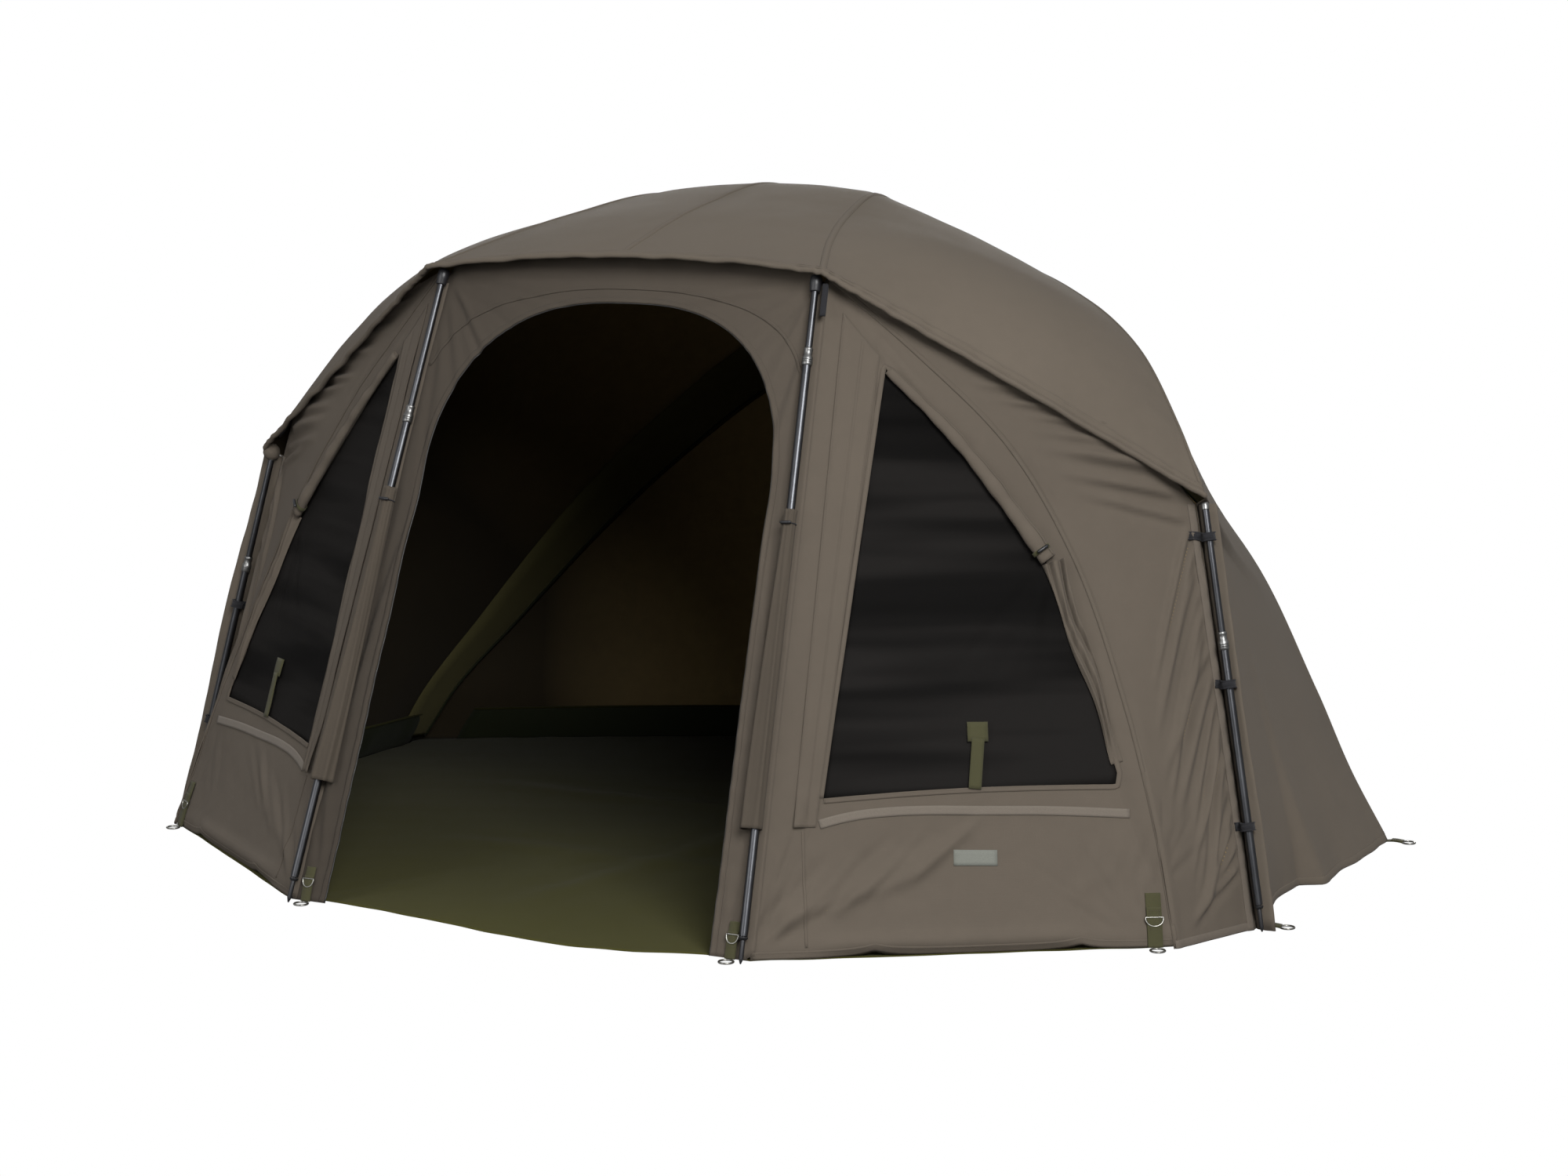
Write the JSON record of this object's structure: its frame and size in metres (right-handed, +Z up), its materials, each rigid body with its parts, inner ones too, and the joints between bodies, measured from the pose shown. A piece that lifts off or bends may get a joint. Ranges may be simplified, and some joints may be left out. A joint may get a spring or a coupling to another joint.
{
  "type": "fishing umbrella shelter",
  "caption": "Tilted fishing umbrella pegged down as a shelter, with ribs and hub, adjustable storm poles, a zipped front infill with doorway and mesh windows, and a groundsheet.",
  "frame": {"origin": "on the ground in the middle of the footprint", "axes": "+Z up, -Y out through the doorway, X across the shelter, its mirror plane at X = 0"},
  "size_m": [2.7042, 2.277, 1.4244],
  "materials": {
    "canopy_fabric": "matt ripstop polyester",
    "panel_fabric": "matt coated polyester",
    "groundsheet": "coated olive groundsheet",
    "black_plastic": "moulded",
    "olive_webbing": "woven tape",
    "pole_metal": "dark anodised tube",
    "rib_steel": "satin black",
    "window_mesh": "fine dark mesh"
  },
  "bodies": {
    "shelter": {"canopy_front": "canopy_fabric", "canopy_front_side_left": "canopy_fabric", "canopy_front_side_right": "canopy_fabric", "canopy_rear": "canopy_fabric", "canopy_side_left": "canopy_fabric", "canopy_side_right": "canopy_fabric", "door_wall": "panel_fabric", "facing_left": "panel_fabric", "facing_right": "panel_fabric", "groundsheet": "groundsheet", "hub": "black_plastic", "hub_cap": "black_plastic", "peg_corner_left": "olive_webbing", "peg_corner_right": "olive_webbing", "peg_front_left": "olive_webbing", "peg_front_right": "olive_webbing", "peg_middle_left": "olive_webbing", "peg_middle_right": "olive_webbing", "peg_rear": "olive_webbing", "peg_side_left": "olive_webbing", "peg_side_right": "olive_webbing", "pole_front_left_upper": "pole_metal", "pole_front_right_upper": "pole_metal", "pole_side_left_upper": "pole_metal", "pole_side_right_upper": "pole_metal", "pole_wrap_left": "panel_fabric", "pole_wrap_right": "panel_fabric", "rib_front_left": "rib_steel", "rib_front_right": "rib_steel", "rib_rear_left": "rib_steel", "rib_rear_right": "rib_steel", "rib_side_left": "rib_steel", "rib_side_right": "rib_steel", "side_panel_left": "panel_fabric", "side_panel_right": "panel_fabric", "window_flap_left": "panel_fabric", "window_flap_right": "panel_fabric", "window_mesh_left": "window_mesh", "window_mesh_right": "window_mesh", "window_wall_left": "panel_fabric", "window_wall_right": "panel_fabric"},
    "pole_front_right_leg": {"pole_front_right_lower": "pole_metal"},
    "pole_front_left_leg": {"pole_front_left_lower": "pole_metal"},
    "pole_side_right_leg": {"pole_side_right_lower": "pole_metal"},
    "pole_side_left_leg": {"pole_side_left_lower": "pole_metal"}
  },
  "joints": [
    {"name": "pole_front_right_slide", "type": "slide", "parent": "shelter", "child": "pole_front_right_leg", "axis": [-0.0616, 0.3521, 0.9339], "range_m": [0, 0.08]},
    {"name": "pole_front_left_slide", "type": "slide", "parent": "shelter", "child": "pole_front_left_leg", "axis": [0.0616, 0.3521, 0.9339], "range_m": [0, 0.2]},
    {"name": "pole_side_right_slide", "type": "slide", "parent": "shelter", "child": "pole_side_right_leg", "axis": [-0.2058, 0.1323, 0.9696], "range_m": [0, 0.18]},
    {"name": "pole_side_left_slide", "type": "slide", "parent": "shelter", "child": "pole_side_left_leg", "axis": [0.2058, 0.1323, 0.9696], "range_m": [0, 0.18]}
  ]
}
